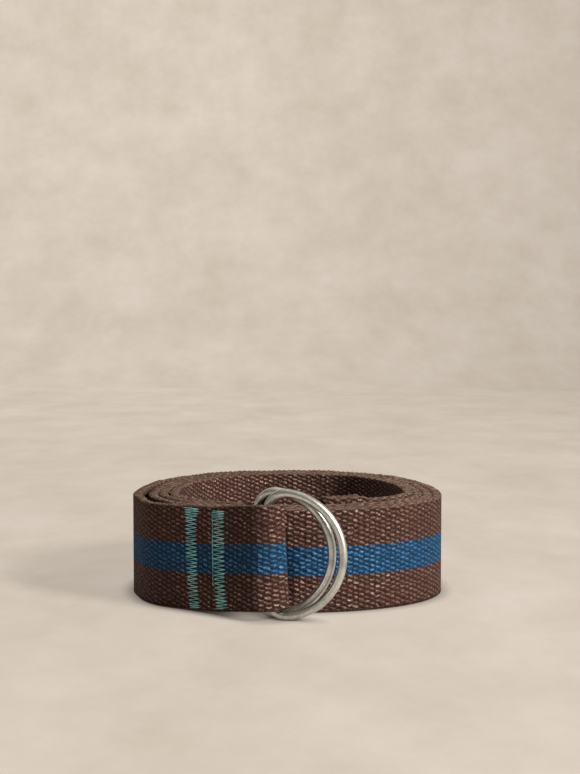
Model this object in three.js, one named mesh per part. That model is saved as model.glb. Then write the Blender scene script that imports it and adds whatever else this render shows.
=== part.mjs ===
// A web belt, rolled up and standing on its edge.
// A thick woven strap is wound nearly four times round an open middle. Its outer end is turned back
// through two metal D-rings and sewn to itself, and its inner end is a short thick hem.
// Millimetres, +X right, +Y away from the viewer, +Z up, standing on z = 0.
import * as THREE from 'three';

// Strap
const WEB_WIDTH = 38;
const WEB_THICKNESS = 3.2;
const SELVEDGE_CUT = 0.6;
const SELVEDGE_RISE = 0.9;
const HEM_LENGTH = 17;
const HEM_THICKNESS = 5.7;
const HEM_RISE = 1.3;
const HEM_RAMP = 2.5;

// Plan outline of the coil, a half oval in front and a deeper one behind. A power of 2 is an ellipse,
// and a higher one has fuller shoulders.
const COIL_HALF_WIDTH = 60.0;
const COIL_FRONT_DEPTH = 45.4;
const COIL_FRONT_POWER = 2.05;
const COIL_BACK_DEPTH = 76;
const COIL_BACK_POWER = 2.2;
const COIL_STEP_DEG = 7.5;
const COIL_FIRST_DEG = 75;
const COIL_LAST_DEG = 1425;

// D-rings
const RING_WIRE = 3.1;
const RING_HEIGHT = 47.2;
const RING_DEPTH = 30.4;
const RING_CORNER_RADIUS = 8.3;
const WIRE_SIDES = 12;
const CORNER_STEPS = 6;
const BOW_STEPS = 26;
const BAR_STEPS = 2;

// How far each layer lies inside the outline, and how far its edge stands off the table.
// turn 0 is the front, 90 the left, 180 the back and 270 the right.
const COIL_ROWS = [
  { turn: 60, inset: 0, lift: 0 },
  { turn: 90, inset: 0, lift: 0 },
  { turn: 270, inset: 0, lift: 0 },
  { turn: 360, inset: 0, lift: 0 },
  { turn: 395, inset: 4.2, lift: 0 },
  { turn: 450, inset: 6.0, lift: 0 },
  { turn: 540, inset: 4.0, lift: 0 },
  { turn: 630, inset: 3.7, lift: 0 },
  { turn: 720, inset: 3.7, lift: 0.2 },
  { turn: 755, inset: 7.8, lift: 0.3 },
  { turn: 810, inset: 9.8, lift: 0.3 },
  { turn: 900, inset: 7.9, lift: 0.2 },
  { turn: 990, inset: 7.5, lift: 0.2 },
  { turn: 1080, inset: 7.5, lift: 0.5 },
  { turn: 1115, inset: 11.5, lift: 0.5 },
  { turn: 1170, inset: 13.9, lift: 0.4 },
  { turn: 1260, inset: 11.9, lift: 0.3 },
  { turn: 1350, inset: 11.2, lift: 0.8 },
  { turn: 1440, inset: 11.5, lift: 1.5 },
];

// The sewn end in plan, from the cut end behind, round the rings and back to the coil in front.
// top is the line of the upper edge, foot that of the lower edge, lift the lower edge's height.
// The web is pressed thinner where it is sewn, and a little narrower where it passes over the rings.
const SEWN_ROWS = [
  { topX: -35.2, topY: -35.4, footX: -35.2, footY: -35.4, lift: 0.6, width: 38.0, thick: 2.7 },
  { topX: -32.6, topY: -37.4, footX: -32.6, footY: -37.4, lift: 0.8, width: 38.0, thick: 2.7 },
  { topX: -22.6, topY: -45.2, footX: -22.6, footY: -45.0, lift: 1.5, width: 38.0, thick: 2.7 },
  { topX: -15.5, topY: -48.0, footX: -15.5, footY: -47.5, lift: 2.8, width: 38.0, thick: 2.7 },
  { topX: -10.0, topY: -48.1, footX: -9.8, footY: -47.7, lift: 3.5, width: 37.8, thick: 2.7 },
  { topX: -6.0, topY: -48.9, footX: -4.2, footY: -48.4, lift: 3.9, width: 37.6, thick: 2.6 },
  { topX: -3.4, topY: -51.6, footX: -1.3, footY: -51.3, lift: 4.1, width: 37.5, thick: 2.5 },
  { topX: -2.4, topY: -55.0, footX: -0.4, footY: -55.6, lift: 4.2, width: 37.5, thick: 2.5 },
  { topX: -3.2, topY: -58.8, footX: -1.1, footY: -59.6, lift: 4.2, width: 37.5, thick: 2.5 },
  { topX: -6.4, topY: -60.5, footX: -4.6, footY: -62.0, lift: 4.0, width: 37.6, thick: 2.6 },
  { topX: -10.6, topY: -59.5, footX: -9.9, footY: -61.5, lift: 3.8, width: 37.8, thick: 2.7 },
  { topX: -15.5, topY: -55.6, footX: -15.7, footY: -56.6, lift: 2.9, width: 38.3, thick: 2.7 },
  { topX: -24.5, topY: -48.4, footX: -24.5, footY: -48.4, lift: 1.2, width: 38.6, thick: 2.7 },
  { topX: -34.5, topY: -40.4, footX: -34.5, footY: -40.4, lift: 0.4, width: 38.6, thick: 2.7 },
  { topX: -42.3, topY: -34.9, footX: -42.3, footY: -34.9, lift: 0.2, width: 38.4, thick: 2.8 },
  { topX: -48.1, topY: -30.2, footX: -48.1, footY: -30.2, lift: 0.1, width: 38.2, thick: 2.9 },
  { topX: -53.0, topY: -22.3, footX: -53.0, footY: -22.3, lift: 0.0, width: 38.0, thick: 3.1 },
];
const SEWN_STEPS = 4;

// Where the middle of each ring's straight bar stands in plan, how far the ring's plane is turned towards
// the viewer, and how far the ring leans over to the right in its own plane
const RINGS = [
  { name: 'front_d_ring', barX: -7.0, barY: -56.2, turnDeg: 11, leanDeg: 0 },
  { name: 'back_d_ring', barX: -10.8, barY: -51.8, turnDeg: 11, leanDeg: 0.8 },
];

const WEB_BROWN = 0x4b322a;
const NICKEL = 0xbdb7a8;

const radians = THREE.MathUtils.degToRad;

// Smooth curve through the rows of a table, read at one place along its first column.
function readRows(rows, key, column, at) {
  const last = rows.length - 1;
  let i = 0;
  while (i < last - 1 && rows[i + 1][key] < at) i += 1;
  const slope = (a, b) => (rows[b][column] - rows[a][column]) / (rows[b][key] - rows[a][key]);
  const tangent = (k) => slope(Math.max(k - 1, 0), Math.min(k + 1, last));
  const span = rows[i + 1][key] - rows[i][key];
  const u = (at - rows[i][key]) / span;
  const rise = rows[i + 1][column] - rows[i][column];
  const m0 = tangent(i) * span;
  const m1 = tangent(i + 1) * span;
  return rows[i][column] + u * m0
    + u * u * (3 * rise - 2 * m0 - m1)
    + u * u * u * (m0 + m1 - 2 * rise);
}

// Middle line of the strap in the coil at a turn angle.
function coilPoint(turn) {
  const inset = readRows(COIL_ROWS, 'turn', 'inset', turn) + WEB_THICKNESS / 2;
  const across = Math.sin(radians(turn));
  const ahead = Math.cos(radians(turn));
  const depth = ahead > 0 ? COIL_FRONT_DEPTH : COIL_BACK_DEPTH;
  const power = ahead > 0 ? COIL_FRONT_POWER : COIL_BACK_POWER;
  return new THREE.Vector2(
    -(COIL_HALF_WIDTH - inset) * Math.sign(across) * Math.abs(across) ** (2 / power),
    -(depth - inset) * Math.sign(ahead) * Math.abs(ahead) ** (2 / power),
  );
}

// All stations of the strap from its cut end to its inner hem.
function strapStations() {
  const coil = [];
  for (let turn = COIL_FIRST_DEG; turn <= COIL_LAST_DEG; turn += COIL_STEP_DEG) {
    const point = coilPoint(turn);
    const lift = Math.max(0, readRows(COIL_ROWS, 'turn', 'lift', turn));
    coil.push({ top: point, foot: point, lift, width: WEB_WIDTH, thick: WEB_THICKNESS });
  }
  const joins = coil.slice(0, 2);
  const topLine = new THREE.SplineCurve(
    SEWN_ROWS.map((row) => new THREE.Vector2(row.topX, row.topY)).concat(joins.map((s) => s.top)),
  );
  const footLine = new THREE.SplineCurve(
    SEWN_ROWS.map((row) => new THREE.Vector2(row.footX, row.footY)).concat(joins.map((s) => s.foot)),
  );
  const sizes = SEWN_ROWS.concat(joins).map((row, place) => ({ ...row, place }));
  const spans = SEWN_ROWS.length + 1;
  const stations = [];
  for (let k = 0; k < SEWN_ROWS.length * SEWN_STEPS; k += 1) {
    const place = k / SEWN_STEPS;
    stations.push({
      top: topLine.getPoint(place / spans),
      foot: footLine.getPoint(place / spans),
      lift: Math.max(0, readRows(sizes, 'place', 'lift', place)),
      width: readRows(sizes, 'place', 'width', place),
      thick: readRows(sizes, 'place', 'thick', place),
    });
  }
  return stations.concat(coil);
}

// Unit vector square to a line of plan points, to the left of the way it runs.
function sideways(points, i) {
  const ahead = points[Math.min(i + 1, points.length - 1)];
  const behind = points[Math.max(i - 1, 0)];
  const along = ahead.clone().sub(behind).normalize();
  return new THREE.Vector2(-along.y, along.x);
}

// Joins a row of rings of points into one closed body.
function loft(sections, closed) {
  const sides = sections[0].length;
  const positions = sections.flat().flatMap((p) => [p.x, p.y, p.z]);
  const index = [];
  const spans = closed ? sections.length : sections.length - 1;
  for (let s = 0; s < spans; s += 1) {
    const here = s * sides;
    const next = ((s + 1) % sections.length) * sides;
    for (let k = 0; k < sides; k += 1) {
      const m = (k + 1) % sides;
      index.push(here + k, next + k, next + m, here + k, next + m, here + m);
    }
  }
  if (!closed) {
    const end = (sections.length - 1) * sides;
    for (let k = 1; k < sides - 1; k += 1) {
      index.push(0, k, k + 1);
      index.push(end, end + k + 1, end + k);
    }
  }
  const geometry = new THREE.BufferGeometry();
  geometry.setAttribute('position', new THREE.Float32BufferAttribute(positions, 3));
  geometry.setIndex(index);
  geometry.computeVertexNormals();
  return geometry;
}

// The strap: an upright section with cut corners, carried along all stations.
function webStrap() {
  const stations = strapStations();
  const tops = stations.map((s) => s.top);
  const feet = stations.map((s) => s.foot);
  let toEnd = 0;
  const left = stations.map(() => 0);
  for (let i = stations.length - 2; i >= 0; i -= 1) {
    toEnd += tops[i].distanceTo(tops[i + 1]);
    left[i] = toEnd;
  }
  const sections = stations.map((station, i) => {
    const inTop = sideways(tops, i);
    const inFoot = sideways(feet, i);
    const half = station.thick / 2;
    const hem = THREE.MathUtils.clamp((HEM_LENGTH - left[i]) / HEM_RAMP, 0, 1);
    const inner = -half - hem * (HEM_THICKNESS - WEB_THICKNESS);
    const foot = station.lift;
    const head = station.lift + station.width + hem * HEM_RISE;
    const at = (across, z) => {
      const share = (z - foot) / (head - foot);
      const x = THREE.MathUtils.lerp(station.foot.x + inFoot.x * across, station.top.x + inTop.x * across, share);
      const y = THREE.MathUtils.lerp(station.foot.y + inFoot.y * across, station.top.y + inTop.y * across, share);
      return new THREE.Vector3(x, y, z);
    };
    return [
      at(inner + SELVEDGE_CUT, foot),
      at(inner, foot + SELVEDGE_RISE),
      at(inner, head - SELVEDGE_RISE),
      at(inner + SELVEDGE_CUT, head),
      at(half - SELVEDGE_CUT, head),
      at(half, head - SELVEDGE_RISE),
      at(half, foot + SELVEDGE_RISE),
      at(half - SELVEDGE_CUT, foot),
    ];
  });
  return loft(sections, false);
}

// Middle line of a D-ring's wire in its own plane: the bar on x = 0, then a corner, the bow and a corner.
function ringLine() {
  const half = (RING_HEIGHT - RING_WIRE) / 2;
  const corner = RING_CORNER_RADIUS - RING_WIRE / 2;
  const depth = RING_DEPTH - RING_WIRE;
  const cornerX = corner;
  const cornerZ = half - corner;
  const bowX = (cornerX * cornerX + cornerZ * cornerZ - (depth - corner) ** 2) / (2 * (cornerX - (depth - corner)));
  const bowRadius = depth - bowX;
  const meet = Math.atan2(cornerZ, cornerX - bowX);
  const points = [];
  for (let k = 0; k < BAR_STEPS; k += 1) {
    points.push(new THREE.Vector2(0, -cornerZ + (2 * cornerZ * k) / BAR_STEPS));
  }
  for (let k = 0; k < CORNER_STEPS; k += 1) {
    const a = Math.PI - ((Math.PI - meet) * k) / CORNER_STEPS;
    points.push(new THREE.Vector2(cornerX + corner * Math.cos(a), cornerZ + corner * Math.sin(a)));
  }
  for (let k = 0; k < BOW_STEPS; k += 1) {
    const a = meet - (2 * meet * k) / BOW_STEPS;
    points.push(new THREE.Vector2(bowX + bowRadius * Math.cos(a), bowRadius * Math.sin(a)));
  }
  for (let k = 0; k < CORNER_STEPS; k += 1) {
    const a = -meet - ((Math.PI - meet) * k) / CORNER_STEPS;
    points.push(new THREE.Vector2(cornerX + corner * Math.cos(a), -cornerZ + corner * Math.sin(a)));
  }
  return points;
}

// A round wire bent along the ring's line, with the middle of its bar at the origin.
function dRing() {
  const line = ringLine();
  const count = line.length;
  const sections = line.map((point, i) => {
    const along = line[(i + 1) % count].clone().sub(line[(i + count - 1) % count]).normalize();
    const out = new THREE.Vector2(-along.y, along.x);
    const section = [];
    for (let k = 0; k < WIRE_SIDES; k += 1) {
      const a = (2 * Math.PI * (k + 0.5)) / WIRE_SIDES;
      const reach = (RING_WIRE / 2) * Math.cos(a);
      section.push(new THREE.Vector3(
        point.x + out.x * reach,
        (RING_WIRE / 2) * Math.sin(a),
        point.y + out.y * reach,
      ));
    }
    return section;
  });
  return loft(sections, true);
}

const belt = new THREE.Group();

const strap = new THREE.Mesh(
  webStrap(),
  new THREE.MeshStandardMaterial({ color: WEB_BROWN, roughness: 0.95, metalness: 0 }),
);
strap.name = 'web_strap';
belt.add(strap);

for (const { name, barX, barY, turnDeg, leanDeg } of RINGS) {
  const ring = new THREE.Mesh(
    dRing(),
    new THREE.MeshStandardMaterial({ color: NICKEL, roughness: 0.35, metalness: 1 }),
  );
  ring.name = name;
  ring.rotation.set(0, radians(leanDeg), -radians(turnDeg), 'ZYX');
  ring.updateMatrixWorld(true);
  const lowest = new THREE.Box3().setFromObject(ring, true).min.z;
  ring.position.set(barX, barY, -lowest);
  belt.add(ring);
}

// The origin is under the middle of the whole belt.
belt.updateMatrixWorld(true);
const bounds = new THREE.Box3().setFromObject(belt, true);
const middle = bounds.getCenter(new THREE.Vector3());
belt.position.set(-middle.x, -middle.y, -bounds.min.z);

export default belt;
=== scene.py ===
# A web belt rolled up on its edge, with two D-rings at its sewn outer end.
# Sizes and tables are in millimetres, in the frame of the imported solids. Meshes are in metres.
import math

import bpy
import numpy as np
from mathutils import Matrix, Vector


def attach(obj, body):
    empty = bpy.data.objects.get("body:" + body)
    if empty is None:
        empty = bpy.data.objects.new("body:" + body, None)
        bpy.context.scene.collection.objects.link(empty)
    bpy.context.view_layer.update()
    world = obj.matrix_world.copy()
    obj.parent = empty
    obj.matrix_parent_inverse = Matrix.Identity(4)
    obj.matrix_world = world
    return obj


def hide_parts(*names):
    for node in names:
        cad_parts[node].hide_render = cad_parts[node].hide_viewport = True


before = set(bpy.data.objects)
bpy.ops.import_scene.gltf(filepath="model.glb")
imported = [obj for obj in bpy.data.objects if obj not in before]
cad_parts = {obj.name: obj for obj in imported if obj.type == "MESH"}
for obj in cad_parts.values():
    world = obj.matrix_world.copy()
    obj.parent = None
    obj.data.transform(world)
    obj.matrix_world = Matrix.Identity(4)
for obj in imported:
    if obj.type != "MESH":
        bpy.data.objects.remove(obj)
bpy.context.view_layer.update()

MM = 0.001

# Strap. The loft is how much the cotton of the coil's layers stands up beyond the web's thickness.
WEB_WIDTH = 38.0
WEB_THICKNESS = 3.2
WEB_LOFT = 0.5
SELVEDGE_RISE = 0.9
SELVEDGE_STEPS = 6
SELVEDGE_SIDE_POWER = 0.4
SELVEDGE_CREST_POWER = 0.6
SELVEDGE_GIRTH = SELVEDGE_RISE * 2 + WEB_THICKNESS * 0.7
FACE_STEPS = 14
STATION_STEP = 0.625

# Selvedges: a lump on the sides and a knot on the crest at every column of the weave, and slow waves,
# each of them a size, a length and a start.
LUMP_SIZE = 0.20
KNOT_SIZE = 0.20
KNOT_START = 1.0
RIM_WAVES = ((0.10, 41.0, 0.4), (0.07, 17.3, 2.0), (0.05, 7.9, 1.1))
FOOT_WAVES = ((0.10, 37.0, 1.4), (0.07, 19.0, 0.3))
FOOT_WAVE_SHARE = 0.3

# Weave: columns follow one another along the strap, floats up each column. Wander and sway are how far
# a column and a float stray about their places. Scales are noise cells to a metre, and the bump's
# depth is in metres.
COLUMN_PITCH = 2.15
COLUMN_WANDER = 1.9
COLUMN_WANDER_SCALE = 420.0
FLOAT_PITCH = 1.77
FLOAT_SWAY = 1.5
FLOAT_SWAY_SCALE = 500.0
FLOAT_SLANT = -0.22
FLOAT_SIDE_POWER = 0.6
FLOAT_END_POWER = 2.7
FIBRE_SCALE = 2200.0
WEAVE_BUMP = 0.0006
PATCH_SCALE = 38.0
STRIPE_LOW = 13.7
STRIPE_HIGH = 24.3
STRIPE_RAGGED = 0.3
# The darkest colour of each kind below is painted shade in the hollows between the floats and the fibres;
# the tip colours are painted highlights on the floats' crowns.
BROWN_HOLLOW_SHADE = (0.006, 0.0022, 0.0016, 1)
BROWN_HIGH = (0.121, 0.053, 0.0375, 1)
BROWN_PAINTED_HIGHLIGHT = (0.70, 0.48, 0.39, 1)
# The rim's colours are lighter than the faces': painted top light on the selvedge crests.
RIM_HOLLOW_SHADE = (0.085, 0.048, 0.033, 1)
RIM_TOP_LIT = (0.235, 0.147, 0.106, 1)
BLUE_HOLLOW_SHADE = (0.0012, 0.006, 0.016, 1)
BLUE_HIGH = (0.018, 0.095, 0.218, 1)
BLUE_PAINTED_HIGHLIGHT = (0.22, 0.46, 0.70, 1)

# Coil outline
COIL_HALF_WIDTH = 60.0
COIL_FRONT_DEPTH = 45.4
COIL_FRONT_POWER = 2.05
COIL_BACK_DEPTH = 76.0
COIL_BACK_POWER = 2.2
COIL_FIRST_DEG = 75.0
COIL_LAST_DEG = 1425.0
COIL_FINE_DEG = 0.75
COIL_MIDDLE_Y = -6.257

# The two rows of the coil that the sewn end's curve runs on through.
COIL_JOIN_ROWS = (0, 10)

# The hem at the inner end: the web is turned inwards on itself and pressed a little thinner. It stands
# higher than the coil's web by the rise, from a sixth of the way along it.
HEM_LENGTH = 16.0
HEM_THICKNESS = 2.75
HEM_OFFSET = 2.85
HEM_RISE = 1.2
HEM_RISE_RATE = 6
HEM_TURN_STEPS = 10

# D-rings. Each row has the solid's name, the body, the bar's x and y, and the turn and the lean in degrees.
RING_WIRE = 3.1
RING_HEIGHT = 47.2
RING_DEPTH = 30.4
RING_CORNER_RADIUS = 8.3
RING_SIDES = 24
BAR_STEPS = 24
CORNER_STEPS = 20
BOW_STEPS = 90
NICKEL_DULL = (0.40, 0.40, 0.355, 1)
NICKEL_BRIGHT = (0.82, 0.82, 0.77, 1)
RINGS = (
    ("front_d_ring", "front_ring", -7.0, -62.457, 11.0, 0.0),
    ("back_d_ring", "back_ring", -10.8, -58.057, 11.0, 0.8),
)

# Where each layer of the coil lies: turn in degrees from the front by the left, inset from the outline
# and height of the lower edge.
COIL_ROWS = (
    (60, 0.0, 0.0),
    (90, 0.0, 0.0),
    (270, 0.0, 0.0),
    (360, 0.0, 0.0),
    (395, 4.2, 0.0),
    (450, 6.0, 0.0),
    (540, 4.0, 0.0),
    (630, 3.7, 0.0),
    (720, 3.7, 0.2),
    (755, 7.8, 0.3),
    (810, 9.8, 0.3),
    (900, 7.9, 0.2),
    (990, 7.5, 0.2),
    (1080, 7.5, 0.5),
    (1115, 11.5, 0.5),
    (1170, 13.9, 0.4),
    (1260, 11.9, 0.3),
    (1350, 11.2, 0.8),
    (1440, 11.5, 1.5),
)

# The sewn end in plan, from the cut end behind, round the rings and back to the coil in front:
# upper edge x, y, lower edge x, y, height of the lower edge, width, thickness.
SEWN_ROWS = (
    (-35.2, -35.4, -35.2, -35.4, 0.6, 38.0, 2.7),
    (-32.6, -37.4, -32.6, -37.4, 0.8, 38.0, 2.7),
    (-22.6, -45.2, -22.6, -45.0, 1.5, 38.0, 2.7),
    (-15.5, -48.0, -15.5, -47.5, 2.8, 38.0, 2.7),
    (-10.0, -48.1, -9.8, -47.7, 3.5, 37.8, 2.7),
    (-6.0, -48.9, -4.2, -48.4, 3.9, 37.6, 2.6),
    (-3.4, -51.6, -1.3, -51.3, 4.1, 37.5, 2.5),
    (-2.4, -55.0, -0.4, -55.6, 4.2, 37.5, 2.5),
    (-3.2, -58.8, -1.1, -59.6, 4.2, 37.5, 2.5),
    (-6.4, -60.5, -4.6, -62.0, 4.0, 37.6, 2.6),
    (-10.6, -59.5, -9.9, -61.5, 3.8, 37.8, 2.7),
    (-15.5, -55.6, -15.7, -56.6, 2.9, 38.3, 2.7),
    (-24.5, -48.4, -24.5, -48.4, 1.2, 38.6, 2.7),
    (-34.5, -40.4, -34.5, -40.4, 0.4, 38.6, 2.7),
    (-42.3, -34.9, -42.3, -34.9, 0.2, 38.4, 2.8),
    (-48.1, -30.2, -48.1, -30.2, 0.1, 38.2, 2.9),
    (-53.0, -22.3, -53.0, -22.3, 0.0, 38.0, 3.1),
)
SEWN_FINE_STEPS = 40

# Floor and backdrop, in metres
FLOOR_REACH = 8.0
BEND_START = 1.1
BEND_RADIUS = 0.35
BEND_STEPS = 24
BACKDROP_TOP = 2.4
FLOOR_LOW = (0.176, 0.151, 0.127, 1)
FLOOR_HIGH = (0.208, 0.183, 0.159, 1)
# The glow colours are painted light: the paper gives off a faint light of its own.
GLOW_LOW = (0.420, 0.363, 0.297, 1)
GLOW_HIGH = (0.494, 0.437, 0.380, 1)
# Painted shade: the paper dims towards the right, more so behind, down to BACKDROP_DIM; BACKDROP_GLOW makes
# it lighter up the backdrop.
DIM_FROM_X = -0.2
DIM_TO_X = 0.5
DIM_FROM_Y = 0.1
BACKDROP_DIM = 0.80
BACKDROP_GLOW = 1.11
# Painted contact shadow: the glow fades where something stands within this reach of the paper.
CONTACT_SHADOW_REACH = 0.006
CONTACT_SHADOW_POWER = 1.2

# Zigzag stitching, from the top down: height up the web, the two sides' places along the strap,
# and the drop from one needle hole to the next.
FIRST_ZIGZAG = (
    (37.2, 89.6, 82.0, 0.40),
    (34.7, 89.5, 82.2, 0.42),
    (33.8, 89.3, 83.6, 0.74),
    (30.0, 89.3, 83.4, 0.74),
    (20.0, 88.8, 83.2, 0.72),
    (10.0, 88.2, 82.9, 0.74),
    (4.0, 87.6, 82.3, 0.72),
    (2.4, 87.3, 82.0, 0.40),
    (0.6, 86.9, 81.8, 0.40),
)
SECOND_ZIGZAG = (
    (36.4, 75.9, 69.8, 0.40),
    (34.2, 75.8, 69.8, 0.42),
    (33.4, 75.7, 69.9, 0.75),
    (20.0, 75.6, 69.7, 0.76),
    (9.5, 75.3, 69.4, 0.76),
    (7.0, 75.0, 69.0, 0.72),
    (2.6, 74.7, 68.0, 0.60),
    (0.6, 74.5, 67.6, 0.38),
)

# The hem's row is given about its own middle, which lies this far from the cut end of the turned ply.
HEM_ZIGZAG = (
    (37.0, 2.2, -2.2, 0.60),
    (1.0, 2.2, -2.2, 0.60),
)
HEM_ROW_INSET = 4.0

# A needle hole's places along the two plies that it joins add up to this much in each row.
FIRST_PLY_SUM = 89.3
SECOND_PLY_SUM = 89.0

# The straight thread down the second row's left side: its place along the strap, the drift of each
# point, and its top, foot and step.
SIDE_THREAD_RUN = 75.7
SIDE_THREAD_SLANT = 0.02
SIDE_THREAD_HEIGHTS = (36.0, 8.0, -1.9)

NEEDLE_JITTER = 0.12
THREAD_RADIUS = 0.15
THREAD_SIDES = 6
THREAD_CUTS = 5
THREAD_ARCH = 0.26
THREAD_DIP = 0.10
TEAL_LOW = (0.03, 0.22, 0.24, 1)
TEAL_HIGH = (0.40, 0.95, 0.92, 1)
BROWN_THREAD_LOW = (0.03, 0.022, 0.012, 1)
BROWN_THREAD_HIGH = (0.16, 0.12, 0.08, 1)

# Light and camera, in metres and watts. Each lamp has its place, the point that it faces, its size,
# its power and its colour.
ROOM_COLOUR = (1.0, 0.97, 0.93, 1)
ROOM_STRENGTH = 0.04
LAMPS = (
    ("key", (1.22, -0.88, 0.84), (0, -0.03, 0.02), (0.32, 0.32), 50.0, (1.0, 0.98, 0.95)),
    ("top", (0.1, 0.1, 1.5), (0, 0.1, 0.0), (1.0, 1.0), 2.6, (1.0, 0.98, 0.95)),
    ("left", (-1.45, -0.95, 0.42), (0, 0.0, 0.02), (0.5, 0.5), 1.9, (1.0, 0.99, 0.97)),
    ("overhead", (-0.4, -0.65, 1.25), (0, 0.0, 0.02), (1.2, 0.8), 0.8, (1.0, 0.99, 0.97)),
)
CAMERA_PLACE = (1.04 * MM, -634.37 * MM, 122.2 * MM)
CAMERA_PITCH_DEG = 3.893
CAMERA_LENS = 75.35
CAMERA_SENSOR = 36.0


def through(rows, at):
    """Smooth curve through a table, read at many places along its first column."""
    rows = np.asarray(rows, float)
    keys, values = rows[:, 0], rows[:, 1:]
    gap = np.diff(keys)
    slopes = np.empty_like(values)
    slopes[1:-1] = (values[2:] - values[:-2]) / (keys[2:] - keys[:-2])[:, None]
    slopes[0] = (values[1] - values[0]) / gap[0]
    slopes[-1] = (values[-1] - values[-2]) / gap[-1]
    at = np.asarray(at, float)
    i = np.clip(np.searchsorted(keys, at, side="right") - 1, 0, len(keys) - 2)
    u = ((at - keys[i]) / gap[i])[:, None]
    start = slopes[i] * gap[i][:, None]
    end = slopes[i + 1] * gap[i][:, None]
    rise = values[i + 1] - values[i]
    square = 3 * rise - 2 * start - end
    cube = start + end - 2 * rise
    return values[i] + u * start + u**2 * square + u**3 * cube


def coil_line():
    """Rows of the coil's middle line: upper x, y, lower x, y, lift, width, thickness."""
    turn = np.arange(COIL_FIRST_DEG, COIL_LAST_DEG + COIL_FINE_DEG / 2, COIL_FINE_DEG)
    inset, lift = through(COIL_ROWS, turn).T
    inset = inset + (WEB_THICKNESS + WEB_LOFT) / 2
    across = np.sin(np.radians(turn))
    ahead = np.cos(np.radians(turn))
    depth = np.where(ahead > 0, COIL_FRONT_DEPTH, COIL_BACK_DEPTH)
    power = np.where(ahead > 0, COIL_FRONT_POWER, COIL_BACK_POWER)
    x = -(COIL_HALF_WIDTH - inset) * np.sign(across) * np.abs(across) ** (2 / power)
    y = -(depth - inset) * np.sign(ahead) * np.abs(ahead) ** (2 / power)
    full = np.full_like(x, WEB_WIDTH)
    thick = np.full_like(x, WEB_THICKNESS + WEB_LOFT)
    return np.stack([x, y, x, y, np.maximum(lift, 0), full, thick], 1)


def run_along(line):
    """Distance along the strap's middle at each row."""
    middle = (line[:, 0:2] + line[:, 2:4]) / 2
    steps = np.linalg.norm(np.diff(middle, axis=0), axis=1)
    return np.concatenate([[0], np.cumsum(steps)])


def left_of(points):
    """Unit vectors square to a line of plan points, to the left of the way it runs."""
    ahead = np.gradient(points, axis=0)
    ahead /= np.linalg.norm(ahead, axis=1, keepdims=True)
    return np.stack([-ahead[:, 1], ahead[:, 0]], 1)


def hem_rows(line, run):
    """Rows of the hem: a half turn inwards, then back along the last layer."""
    reach = HEM_OFFSET / 2 + HEM_THICKNESS / 2
    tip = run[-1] - reach
    at = np.array([[np.interp(tip, run, line[:, k]) for k in range(7)]])
    side = left_of(line[:, 0:2])
    side_at = np.array([np.interp(tip, run, side[:, k]) for k in range(2)])
    ahead_at = np.array([side_at[1], -side_at[0]])
    centre = at[0, 0:2] - side_at * HEM_OFFSET / 2
    turn = np.linspace(0, math.pi, HEM_TURN_STEPS + 1)[1:-1, None]
    bend = centre + (side_at * np.cos(turn) + ahead_at * np.sin(turn)) * HEM_OFFSET / 2
    back = np.arange(tip, tip - (HEM_LENGTH - reach), -STATION_STEP)
    layer = np.stack([np.interp(back, run, line[:, k]) for k in range(7)], 1)
    sides = np.stack([np.interp(back, run, side[:, k]) for k in range(2)], 1)
    layer[:, 0:2] -= sides * HEM_OFFSET
    layer[:, 2:4] = layer[:, 0:2]
    layer[:, 6] = HEM_THICKNESS
    layer[:, 5] += HEM_RISE
    turned = np.repeat(at, len(bend), axis=0)
    turned[:, 0:2] = bend
    turned[:, 2:4] = bend
    turned[:, 6] = HEM_THICKNESS
    turned[:, 5] += HEM_RISE
    return tip, np.vstack([turned, layer])


def strap_line():
    """Evenly spaced rows of the whole strap, and the distance along it at each."""
    coil = coil_line()
    rows = np.vstack([SEWN_ROWS, coil[list(COIL_JOIN_ROWS)]])
    rows = np.column_stack([np.arange(len(rows)), rows])
    sewn = through(rows, np.arange(0, len(SEWN_ROWS), 1 / SEWN_FINE_STEPS))
    line = np.vstack([sewn, coil])
    line[:, [1, 3]] += COIL_MIDDLE_Y
    run = run_along(line)
    tip, hem = hem_rows(line, run)
    places = np.arange(0, tip, STATION_STEP)
    line = np.stack([np.interp(places, run, line[:, k]) for k in range(7)], 1)
    press = np.clip((places - tip + HEM_LENGTH) / HEM_LENGTH, 0, 1)
    line[:, 6] += press * (HEM_THICKNESS - WEB_THICKNESS - WEB_LOFT)
    line[:, 5] += HEM_RISE * np.clip(press * HEM_RISE_RATE, 0, 1)
    line = np.vstack([line, hem])
    return line, run_along(line)


LINE, RUN = strap_line()
STRAP_LENGTH = float(RUN[-1])


def strap_point(run, height):
    """Place on the outer face of the strap's loop, and the way out of it."""
    columns = [np.interp(run, RUN, LINE[:, k]) for k in range(7)]
    share = height / WEB_WIDTH
    ways = left_of(LINE[:, 0:2]) * share + left_of(LINE[:, 2:4]) * (1 - share)
    way = np.array([np.interp(run, RUN, ways[:, k]) for k in range(2)])
    way /= np.linalg.norm(way)
    top = np.array(columns[0:2])
    foot = np.array(columns[2:4])
    middle = top * share + foot * (1 - share)
    place = middle + way * columns[6] / 2
    return np.array([*place, columns[4] + share * columns[5]]), np.array([*way, 0.0])


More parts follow.
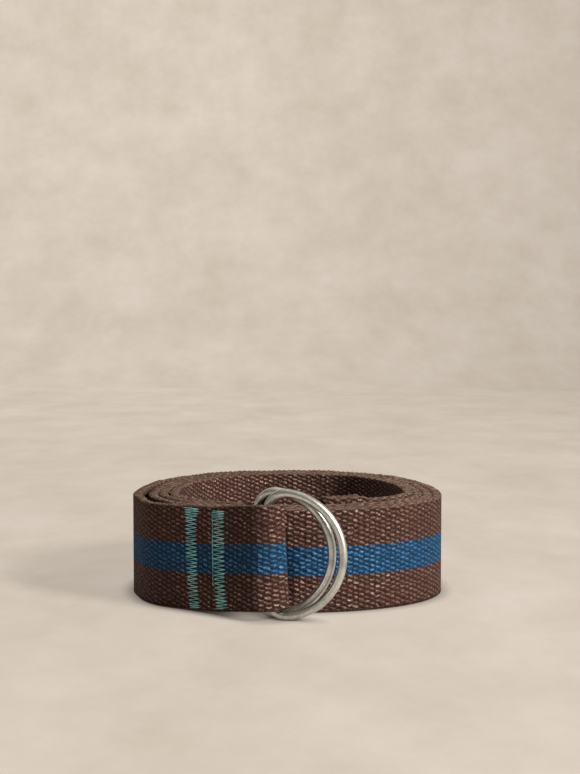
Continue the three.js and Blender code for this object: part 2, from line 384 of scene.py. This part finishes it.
def section_points():
    """The strap's section: share of half the thickness, height, place round it, share of the selvedge."""
    face = np.linspace(SELVEDGE_RISE, WEB_WIDTH - SELVEDGE_RISE, FACE_STEPS)
    turn = (np.arange(SELVEDGE_STEPS) + 1) * math.pi / (SELVEDGE_STEPS + 1)
    across = np.sign(np.cos(turn)) * np.abs(np.cos(turn)) ** SELVEDGE_SIDE_POWER
    crest = np.sin(turn) ** SELVEDGE_CREST_POWER
    crest_girth = np.linspace(0, SELVEDGE_GIRTH, SELVEDGE_STEPS + 2)[1:-1]
    rows = [(1.0, z, z, 0.0) for z in face]
    high = WEB_WIDTH - SELVEDGE_RISE
    for a, c, g in zip(across, crest, crest_girth):
        rows.append((a, high + c * SELVEDGE_RISE, high + g, c))
    for z in face[::-1]:
        rows.append((-1.0, z, high + SELVEDGE_GIRTH + (high - z), 0.0))
    around = high + SELVEDGE_GIRTH + high - SELVEDGE_RISE
    for a, c, g in zip(across[::-1], crest, crest_girth):
        rows.append((a, SELVEDGE_RISE - c * SELVEDGE_RISE, around + g, c))
    return np.array(rows)


def wave(run, table):
    """Sum of slow sine waves along the strap: each row is size, length and start."""
    return sum(size * np.sin(2 * math.pi * run / length + start) for size, length, start in table)


def mesh_object(name, points, faces, material):
    """A smooth-shaded mesh in one finish."""
    mesh = bpy.data.meshes.new(name)
    mesh.from_pydata(points, [], faces)
    mesh.polygons.foreach_set("use_smooth", [True] * len(mesh.polygons))
    mesh.materials.append(material)
    mesh.update()
    piece = bpy.data.objects.new(name, mesh)
    bpy.context.scene.collection.objects.link(piece)
    return piece


def add_values(piece, name, values):
    """Stores one number for each vertex, for the materials to read."""
    attribute = piece.data.attributes.new(name, "FLOAT", "POINT")
    attribute.data.foreach_set("value", np.asarray(values, np.float32).ravel())


def make_strap(material):
    """The web: a rounded upright section carried along the strap's line, with the lumps of its selvedges."""
    section = section_points()
    sides = len(section)
    count = len(LINE)
    share, height, girth, crest = section.T
    top_way = left_of(LINE[:, 0:2])
    foot_way = left_of(LINE[:, 2:4])
    draws = np.random.default_rng(4)
    uneven = 0.7 + 0.6 * draws.random(count)
    phase = 2 * math.pi * RUN / COLUMN_PITCH
    lumps = LUMP_SIZE * np.cos(phase)[:, None] * np.sign(share)[None, :] * (0.4 + 0.6 * crest)[None, :]
    lumps = lumps * uneven[:, None] * np.where(crest > 0, 1, 0)[None, :]
    knots = KNOT_SIZE * np.cos(phase + KNOT_START)[:, None] * crest[None, :] * uneven[:, None]
    rim_wave = wave(RUN, RIM_WAVES)
    foot_wave = FOOT_WAVE_SHARE * np.abs(wave(RUN, FOOT_WAVES))
    rise = height / WEB_WIDTH
    half = LINE[:, 6:7] / 2
    out = share[None, :] * half + lumps
    z = LINE[:, 4:5] + rise[None, :] * LINE[:, 5:6]
    upper = height > WEB_WIDTH / 2
    z = z + np.where(upper[None, :], rim_wave[:, None] * rise[None, :] + knots, foot_wave[:, None])
    z = np.maximum(z, 0.0)
    top = LINE[:, None, 0:2] + top_way[:, None, :] * out[:, :, None]
    foot = LINE[:, None, 2:4] + foot_way[:, None, :] * out[:, :, None]
    plan = top * rise[None, :, None] + foot * (1 - rise)[None, :, None]
    points = np.concatenate([plan, z[:, :, None]], axis=2).reshape(-1, 3) * MM
    station = np.arange(count - 1)[:, None] * sides
    k = np.arange(sides)[None, :]
    m = (k + 1) % sides
    quads = np.stack([station + k, station + m, station + sides + m, station + sides + k], axis=2)
    quads = quads.reshape(-1, 4)[:, ::-1]
    first_cap = list(range(sides))
    last_cap = [(count - 1) * sides + i for i in range(sides)][::-1]
    faces = quads.tolist() + [first_cap, last_cap]
    piece = mesh_object("strap_web", points.tolist(), faces, material)
    add_values(piece, "run", np.repeat(RUN, sides))
    add_values(piece, "girth", np.tile(girth, count))
    add_values(piece, "height", np.tile(height, count))
    add_values(piece, "crest", np.tile(crest, count))
    return piece


def add(tree, kind, values=None, **settings):
    """Adds a node, sets its settings and its inputs' values or links."""
    node = tree.nodes.new(kind)
    for name, value in settings.items():
        setattr(node, name, value)
    for name, value in (values or {}).items():
        if isinstance(value, bpy.types.NodeSocket):
            tree.links.new(value, node.inputs[name])
        else:
            node.inputs[name].default_value = value
    return node


def maths(tree, operation, *values):
    """One step of arithmetic on numbers or sockets."""
    return add(tree, "ShaderNodeMath", dict(enumerate(values)), operation=operation).outputs[0]


def stored(tree, name):
    """A number that the mesh holds for each vertex."""
    return add(tree, "ShaderNodeAttribute", attribute_name=name).outputs["Fac"]


def spread(tree, value, low, high, new_low=0.0, new_high=1.0, smooth=True):
    """Carries a value from one range to another."""
    kind = "SMOOTHSTEP" if smooth else "LINEAR"
    values = {"From Min": low, "From Max": high, "To Min": new_low, "To Max": new_high, "Value": value}
    return add(tree, "ShaderNodeMapRange", values, interpolation_type=kind).outputs["Result"]


def noise(tree, place, scale, detail=2.0, roughness=0.5):
    """Cloudy noise through the piece."""
    values = {"Vector": place, "Scale": scale, "Detail": detail, "Roughness": roughness}
    return add(tree, "ShaderNodeTexNoise", values).outputs["Fac"]


def mix(tree, share, first, second):
    """Mixes two colours by a share of the second."""
    node = add(tree, "ShaderNodeMix", data_type="RGBA")
    for index, value in ((0, share), (6, first), (7, second)):
        if isinstance(value, bpy.types.NodeSocket):
            tree.links.new(value, node.inputs[index])
        else:
            node.inputs[index].default_value = value
    return node.outputs[2]


def new_material(name):
    """A finish, its nodes, its shader and the piece's own coordinates."""
    material = bpy.data.materials.new(name)
    material.use_nodes = True
    tree = material.node_tree
    shader = tree.nodes["Principled BSDF"]
    place = add(tree, "ShaderNodeTexCoord").outputs["Object"]
    return material, tree, shader, place


def web_material():
    """Thick cotton webbing: short floats in half-offset columns, with a blue stripe along the middle."""
    material, tree, shader, place = new_material("brown_webbing_blue_stripe")
    wander = noise(tree, place, COLUMN_WANDER_SCALE)
    wander = maths(tree, "MULTIPLY_ADD", wander, COLUMN_WANDER, -COLUMN_WANDER / 2)
    sway = noise(tree, place, FLOAT_SWAY_SCALE)
    sway = maths(tree, "MULTIPLY_ADD", sway, FLOAT_SWAY, -FLOAT_SWAY / 2)
    along = maths(tree, "DIVIDE", maths(tree, "ADD", stored(tree, "run"), wander), COLUMN_PITCH)
    column = maths(tree, "ROUND", along)
    beside = maths(tree, "SUBTRACT", along, column)
    odd = maths(tree, "FLOORED_MODULO", column, 2.0)
    climb = maths(tree, "DIVIDE", maths(tree, "ADD", stored(tree, "girth"), sway), FLOAT_PITCH)
    climb = maths(tree, "MULTIPLY_ADD", odd, 0.5, climb)
    climb = maths(tree, "MULTIPLY_ADD", beside, FLOAT_SLANT, climb)
    row = maths(tree, "ROUND", climb)
    over = maths(tree, "SUBTRACT", climb, row)
    cell = add(tree, "ShaderNodeCombineXYZ", {"X": column, "Y": row}).outputs[0]
    draw = add(tree, "ShaderNodeTexWhiteNoise", {"Vector": cell}, noise_dimensions="2D")
    draws = add(tree, "ShaderNodeSeparateColor", {"Color": draw.outputs["Color"]}).outputs
    across = maths(tree, "COSINE", maths(tree, "MULTIPLY", beside, math.pi))
    upright = maths(tree, "COSINE", maths(tree, "MULTIPLY", over, math.pi))
    across = maths(tree, "POWER", across, FLOAT_SIDE_POWER)
    upright = maths(tree, "POWER", upright, FLOAT_END_POWER)
    crown = maths(tree, "MULTIPLY", across, upright)
    crown = maths(tree, "MULTIPLY", crown, maths(tree, "MULTIPLY_ADD", draws[0], 0.6, 0.55))
    fibre_place = add(tree, "ShaderNodeMapping", {"Vector": place, "Scale": (1.0, 1.0, 2.2)}).outputs[0]
    fibre = noise(tree, fibre_place, FIBRE_SCALE, 2.0, 0.6)
    relief = maths(tree, "MULTIPLY_ADD", fibre, 0.6, crown)
    bump = add(tree, "ShaderNodeBump", {"Strength": 1.0, "Distance": WEAVE_BUMP, "Height": relief})
    # Painted shade: the colour darkens towards the hollows between the floats and the fibres' low places.
    depth = spread(tree, maths(tree, "MULTIPLY_ADD", fibre, 2.1, crown), 0.75, 1.85)
    # Painted highlights: bright specks on the crowns where the fibres stand high.
    specks = maths(tree, "MULTIPLY", spread(tree, fibre, 0.50, 0.62), spread(tree, crown, 0.30, 0.75))
    painted_highlights = maths(tree, "MULTIPLY", specks, maths(tree, "MULTIPLY_ADD", draws[1], 1.0, 0.2))
    sideways = maths(tree, "ABSOLUTE", add(tree, "ShaderNodeSeparateXYZ", {"Vector": place}).outputs["X"])
    # The painted highlights thin out towards the coil's rounded ends.
    painted_highlights = maths(tree, "MULTIPLY", painted_highlights, spread(tree, sideways, 0.030, 0.050, 1.0, 0.25))
    patches = noise(tree, place, PATCH_SCALE, 3.0)
    brown = mix(tree, painted_highlights, mix(tree, depth, BROWN_HOLLOW_SHADE, BROWN_HIGH), BROWN_PAINTED_HIGHLIGHT)
    blue = mix(tree, painted_highlights, mix(tree, depth, BLUE_HOLLOW_SHADE, BLUE_HIGH), BLUE_PAINTED_HIGHLIGHT)
    ragged = maths(tree, "MULTIPLY_ADD", crown, STRIPE_RAGGED, stored(tree, "height"))
    above = spread(tree, ragged, STRIPE_LOW - 0.1, STRIPE_LOW + 0.2)
    below = spread(tree, ragged, STRIPE_HIGH, STRIPE_HIGH + 0.3, 1.0, 0.0)
    stripe = maths(tree, "MULTIPLY", above, below)
    faces = mix(tree, stripe, brown, blue)
    # Painted top light: the selvedge crests take the lighter rim colours.
    rim_share = maths(tree, "MULTIPLY_ADD", fibre, 0.9, stored(tree, "crest"))
    rim_share = spread(tree, rim_share, 0.7, 1.45, 0.0, 0.9)
    rim = mix(tree, depth, RIM_HOLLOW_SHADE, RIM_TOP_LIT)
    cloth = mix(tree, rim_share, faces, rim)
    shade = spread(tree, patches, 0.3, 0.7, 0.84, 1.08, smooth=False)
    toned = add(tree, "ShaderNodeHueSaturation", {"Value": shade, "Color": cloth}).outputs[0]
    tree.links.new(toned, shader.inputs["Base Color"])
    tree.links.new(bump.outputs[0], shader.inputs["Normal"])
    shader.inputs["Roughness"].default_value = 0.85
    shader.inputs["Specular IOR Level"].default_value = 0.2
    return material


def thread_material(name, low, high):
    """Twisted sewing thread."""
    material, tree, shader, place = new_material(name)
    strands = noise(tree, place, 3400.0, 2.0, 0.6)
    patches = noise(tree, place, 300.0)
    share = spread(tree, maths(tree, "ADD", strands, patches), 0.7, 1.3)
    tree.links.new(mix(tree, share, low, high), shader.inputs["Base Color"])
    bump = add(tree, "ShaderNodeBump", {"Strength": 0.6, "Distance": 0.0001, "Height": strands})
    tree.links.new(bump.outputs[0], shader.inputs["Normal"])
    shader.inputs["Roughness"].default_value = 0.5
    shader.inputs["Sheen Weight"].default_value = 0.2
    return material


def ring_material():
    """Aged nickel: softly brushed, with dull darker patches and finer marks."""
    material, tree, shader, place = new_material("aged_nickel_wire")
    clouds = noise(tree, place, 130.0, 4.0, 0.6)
    specks = noise(tree, place, 1500.0, 3.0, 0.65)
    marks = maths(tree, "MULTIPLY_ADD", specks, 0.4, clouds)
    share = spread(tree, marks, 0.45, 0.95)
    tone = mix(tree, share, NICKEL_DULL, NICKEL_BRIGHT)
    tree.links.new(tone, shader.inputs["Base Color"])
    rough = spread(tree, clouds, 0.3, 0.7, 0.46, 0.32, smooth=False)
    tree.links.new(rough, shader.inputs["Roughness"])
    bump = add(tree, "ShaderNodeBump", {"Strength": 0.5, "Distance": 0.00005, "Height": marks})
    tree.links.new(bump.outputs[0], shader.inputs["Normal"])
    shader.inputs["Metallic"].default_value = 1.0
    return material


def paper_material():
    """Painted paper, a little uneven in tone, darker up on the right as painted shade, and lighter up the
    backdrop.

    A faint glow of its own, painted light, keeps its shadows light, and gives way where something stands
    close to it as a painted contact shadow.
    """
    material, tree, shader, place = new_material("pale_paper")
    flat_place = add(tree, "ShaderNodeMapping", {"Vector": place, "Scale": (1.0, 0.6, 1.2)}).outputs[0]
    clouds = noise(tree, flat_place, 17.0, 6.0, 0.68)
    share = spread(tree, clouds, 0.3, 0.7, smooth=False)
    places = add(tree, "ShaderNodeSeparateXYZ", {"Vector": place}).outputs
    # Painted shade towards the right and behind, and lighter up the backdrop.
    right = spread(tree, places["X"], DIM_FROM_X, DIM_TO_X)
    behind = spread(tree, places["Y"], DIM_FROM_Y, BEND_START)
    dimming = maths(tree, "MULTIPLY", right, maths(tree, "MULTIPLY_ADD", behind, 0.7, 0.3))
    dim = spread(tree, dimming, 0.0, 1.0, 1.0, BACKDROP_DIM, smooth=False)
    rise = spread(tree, places["Y"], DIM_FROM_Y, BEND_START, 1.0, BACKDROP_GLOW)
    dim = maths(tree, "MULTIPLY", dim, rise)
    # Painted contact shadow: the glow fades near anything that stands close.
    open_share = add(tree, "ShaderNodeAmbientOcclusion", {"Distance": CONTACT_SHADOW_REACH}, samples=8)
    for socket, low, high in (
        ("Base Color", FLOOR_LOW, FLOOR_HIGH),
        ("Emission Color", GLOW_LOW, GLOW_HIGH),
    ):
        tone = mix(tree, share, low, high)
        toned = add(tree, "ShaderNodeHueSaturation", {"Value": dim, "Color": tone}).outputs[0]
        tree.links.new(toned, shader.inputs[socket])
    glow = maths(tree, "POWER", open_share.outputs["AO"], CONTACT_SHADOW_POWER)
    tree.links.new(glow, shader.inputs["Emission Strength"])
    shader.inputs["Roughness"].default_value = 0.9
    shader.inputs["Specular IOR Level"].default_value = 0.1
    return material


def wire_tree():
    """Lays a round wire or thread along a line of edges, arched between its points."""
    tree = bpy.data.node_groups.new("wire_along_a_line", "GeometryNodeTree")
    face = tree.interface
    face.new_socket("Line", in_out="INPUT", socket_type="NodeSocketGeometry")
    for name, kind, value in (
        ("Wire radius", "NodeSocketFloat", 0.001),
        ("Wire sides", "NodeSocketInt", 8),
        ("Cuts between points", "NodeSocketInt", 0),
        ("Arch height", "NodeSocketFloat", 0.0),
        ("Dip at points", "NodeSocketFloat", 0.0),
        ("Finish", "NodeSocketMaterial", None),
    ):
        socket = face.new_socket(name, in_out="INPUT", socket_type=kind)
        if value is not None:
            socket.default_value = value
    face.new_socket("Wire", in_out="OUTPUT", socket_type="NodeSocketGeometry")
    given = tree.nodes.new("NodeGroupInput").outputs
    curve = add(tree, "GeometryNodeMeshToCurve", {"Mesh": given["Line"]}).outputs[0]
    cuts = {"Curve": curve, "Cuts": given["Cuts between points"]}
    curve = add(tree, "GeometryNodeSubdivideCurve", cuts).outputs[0]
    stored_kind = "GeometryNodeInputNamedAttribute"
    leg = add(tree, stored_kind, {"Name": "leg"}, data_type="FLOAT").outputs[0]
    way = add(tree, stored_kind, {"Name": "way_out"}, data_type="FLOAT_VECTOR").outputs[0]
    arch = maths(tree, "SINE", maths(tree, "MULTIPLY", leg, math.pi))
    dip = maths(tree, "MULTIPLY", maths(tree, "SUBTRACT", 1.0, arch), given["Dip at points"])
    reach = maths(tree, "SUBTRACT", maths(tree, "MULTIPLY", arch, given["Arch height"]), dip)
    offset = add(tree, "ShaderNodeVectorMath", {0: way, "Scale": reach}, operation="SCALE").outputs[0]
    curve = add(tree, "GeometryNodeSetPosition", {"Geometry": curve, "Offset": offset}).outputs[0]
    circle = add(
        tree,
        "GeometryNodeCurvePrimitiveCircle",
        {"Resolution": given["Wire sides"], "Radius": given["Wire radius"]},
    ).outputs[0]
    wire = add(
        tree,
        "GeometryNodeCurveToMesh",
        {"Curve": curve, "Profile Curve": circle, "Fill Caps": True},
    ).outputs[0]
    wire = add(tree, "GeometryNodeSetShadeSmooth", {"Geometry": wire}).outputs[0]
    wire = add(tree, "GeometryNodeRealizeInstances", {"Geometry": wire}).outputs[0]
    wire = add(tree, "GeometryNodeSetMaterial", {"Geometry": wire, "Material": given["Finish"]}).outputs[0]
    tree.links.new(wire, tree.nodes.new("NodeGroupOutput").inputs["Wire"])
    return tree


def lay_wire(name, tree, lines, values):
    """Runs the wire tree over lines of (point, way out, leg) rows, and returns a plain mesh object."""
    points, ways, legs, edges = [], [], [], []
    for rows, closed in lines:
        start = len(points)
        for point, way, leg in rows:
            points.append((np.asarray(point) * MM).tolist())
            ways.append(way)
            legs.append(leg)
        edges += [(i, i + 1) for i in range(start, len(points) - 1)]
        if closed:
            edges.append((len(points) - 1, start))
    guide_mesh = bpy.data.meshes.new(name + "_line")
    guide_mesh.from_pydata(points, edges, [])
    guide_mesh.attributes.new("leg", "FLOAT", "POINT").data.foreach_set("value", legs)
    flat = np.asarray(ways, np.float32).ravel()
    guide_mesh.attributes.new("way_out", "FLOAT_VECTOR", "POINT").data.foreach_set("vector", flat)
    guide = bpy.data.objects.new(name + "_line", guide_mesh)
    bpy.context.scene.collection.objects.link(guide)
    modifier = guide.modifiers.new("wire", "NODES")
    modifier.node_group = tree
    for socket in tree.interface.items_tree:
        if socket.in_out == "INPUT" and socket.name in values:
            modifier[socket.identifier] = values[socket.name]
    graph = bpy.context.evaluated_depsgraph_get()
    mesh = bpy.data.meshes.new_from_object(guide.evaluated_get(graph), depsgraph=graph)
    guide.modifiers.clear()
    bpy.data.objects.remove(guide)
    bpy.data.meshes.remove(guide_mesh)
    mesh.name = name
    piece = bpy.data.objects.new(name, mesh)
    bpy.context.scene.collection.objects.link(piece)
    return piece


def ring_line():
    """Middle line of a ring's wire in its own plane: the bar on x = 0, a corner, the bow and a corner."""
    half = (RING_HEIGHT - RING_WIRE) / 2
    corner = RING_CORNER_RADIUS - RING_WIRE / 2
    depth = RING_DEPTH - RING_WIRE
    corner_z = half - corner
    bow_x = (corner**2 + corner_z**2 - (depth - corner) ** 2) / (2 * (corner - (depth - corner)))
    bow_radius = depth - bow_x
    meet = math.atan2(corner_z, corner - bow_x)
    turn = math.pi - meet
    points = [(0.0, z) for z in np.linspace(-corner_z, corner_z, BAR_STEPS)[:-1]]
    for centre, radius, first, last, steps in (
        ((corner, corner_z), corner, math.pi, meet, CORNER_STEPS),
        ((bow_x, 0.0), bow_radius, meet, -meet, BOW_STEPS),
        ((corner, -corner_z), corner, -meet, -meet - turn, CORNER_STEPS),
    ):
        for a in np.linspace(first, last, steps)[:-1]:
            points.append((centre[0] + radius * math.cos(a), centre[1] + radius * math.sin(a)))
    return points


def make_ring(name, body, bar_x, bar_y, turn_deg, lean_deg, tree, material):
    """One ring, leaned and turned about its bar, standing on the floor."""
    turn = -math.radians(turn_deg)
    lean = math.radians(lean_deg)
    leaned = [
        (x * math.cos(lean) + z * math.sin(lean), z * math.cos(lean) - x * math.sin(lean))
        for x, z in ring_line()
    ]
    low = min(z for _, z in leaned) - RING_WIRE / 2
    rows = []
    for x, z in leaned:
        place = (bar_x + x * math.cos(turn), bar_y + x * math.sin(turn), z - low)
        rows.append((place, (0, 0, 0), 0.0))
    values = {"Wire radius": RING_WIRE / 2 * MM, "Wire sides": RING_SIDES, "Finish": material}
    piece = lay_wire(name.replace("_d_ring", "_ring_wire"), tree, [(rows, True)], values)
    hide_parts(name)
    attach(piece, body)


def zigzag_rows(table, seed, centre=0.0, flip=1.0):
    """Needle holes down one zigzag row, as rows for the wire tree."""
    draws = np.random.default_rng(seed)
    table = np.asarray(table, float)[::-1]
    height = table[-1, 0]
    low = table[0, 0]
    rows = []
    place = 0
    while height > low:
        left, right, drop = (np.interp(height, table[:, 0], table[:, k]) for k in (1, 2, 3))
        run = (left, right)[place % 2]
        run = centre + flip * run + NEEDLE_JITTER * draws.standard_normal()
        point, way = strap_point(run, height)
        rows.append((point, way, float(place % 2)))
        height -= drop * (1 + NEEDLE_JITTER * draws.standard_normal())
        place += 1
    return rows


def side_thread_rows():
    """The straight thread that runs down the second row's left side."""
    rows = []
    for place, height in enumerate(np.arange(*SIDE_THREAD_HEIGHTS)):
        point, way = strap_point(SIDE_THREAD_RUN - SIDE_THREAD_SLANT * place, height)
        rows.append((point, way, float(place % 2)))
    return rows


def make_stitches(tree, material, hem_thread):
    """Both zigzag rows with their backs on the turned end, the side thread, and the row of the hem."""
    through_web = [
        (zigzag_rows(FIRST_ZIGZAG, 1), False),
        (zigzag_rows(SECOND_ZIGZAG, 2), False),
        (side_thread_rows(), False),
        (zigzag_rows(FIRST_ZIGZAG, 3, centre=FIRST_PLY_SUM, flip=-1.0), False),
        (zigzag_rows(SECOND_ZIGZAG, 4, centre=SECOND_PLY_SUM, flip=-1.0), False),
    ]
    values = {
        "Wire radius": THREAD_RADIUS * MM,
        "Wire sides": THREAD_SIDES,
        "Cuts between points": THREAD_CUTS,
        "Arch height": THREAD_ARCH * MM,
        "Dip at points": THREAD_DIP * MM,
        "Finish": material,
    }
    stitches = lay_wire("zigzag_stitching", tree, through_web, values)
    hem_centre = STRAP_LENGTH - HEM_ROW_INSET
    hem_lines = [(zigzag_rows(HEM_ZIGZAG, 5, centre=hem_centre), False)]
    hem = lay_wire("hem_stitching", tree, hem_lines, dict(values, Finish=hem_thread))
    for piece in (stitches, hem):
        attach(piece, "strap")
    return stitches, hem


def make_stage():
    """A pale floor that curves up into a backdrop."""
    material = paper_material()
    profile = [(-FLOOR_REACH, 0.0), (BEND_START, 0.0)]
    for a in np.linspace(0, math.pi / 2, BEND_STEPS)[1:]:
        profile.append((BEND_START + BEND_RADIUS * math.sin(a), BEND_RADIUS - BEND_RADIUS * math.cos(a)))
    profile.append((BEND_START + BEND_RADIUS, BACKDROP_TOP))
    points = [(x, y, z) for x in (-FLOOR_REACH, FLOOR_REACH) for y, z in profile]
    n = len(profile)
    faces = [(i, n + i, n + i + 1, i + 1) for i in range(n - 1)]
    floor = mesh_object("floor_and_backdrop", points, faces, material)


def area_light(name, place, target, size, watts, colour):
    """One soft lamp that faces a target."""
    data = bpy.data.lights.new(name, "AREA")
    data.shape = "RECTANGLE"
    data.size, data.size_y = size
    data.energy = watts
    data.color = colour
    lamp = bpy.data.objects.new(name, data)
    lamp.location = place
    lamp.rotation_euler = (Vector(target) - Vector(place)).to_track_quat("-Z", "Y").to_euler()
    bpy.context.scene.collection.objects.link(lamp)


def make_lights():
    """A dim warm room and its lamps."""
    world = bpy.data.worlds.new("soft_room")
    world.use_nodes = True
    background = world.node_tree.nodes["Background"]
    background.inputs["Color"].default_value = ROOM_COLOUR
    background.inputs["Strength"].default_value = ROOM_STRENGTH
    bpy.context.scene.world = world
    for lamp in LAMPS:
        area_light(*lamp)


def make_camera():
    """The camera, before the rings and a little above the roll."""
    data = bpy.data.cameras.new("camera")
    data.sensor_width = CAMERA_SENSOR
    data.lens = CAMERA_LENS
    data.clip_start = 0.01
    camera = bpy.data.objects.new("camera", data)
    camera.location = CAMERA_PLACE
    camera.rotation_euler = (math.radians(90 - CAMERA_PITCH_DEG), 0, 0)
    bpy.context.scene.collection.objects.link(camera)
    bpy.context.scene.camera = camera


bpy.context.scene.view_settings.view_transform = "Standard"
make_camera()
make_lights()
make_stage()

strap = make_strap(web_material())
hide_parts("web_strap")
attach(strap, "strap")

wires = wire_tree()
teal_thread = thread_material("teal_thread", TEAL_LOW, TEAL_HIGH)
brown_thread = thread_material("brown_thread", BROWN_THREAD_LOW, BROWN_THREAD_HIGH)
stitching, hem_stitching = make_stitches(wires, teal_thread, brown_thread)
nickel = ring_material()
for row in RINGS:
    make_ring(*row, wires, nickel)
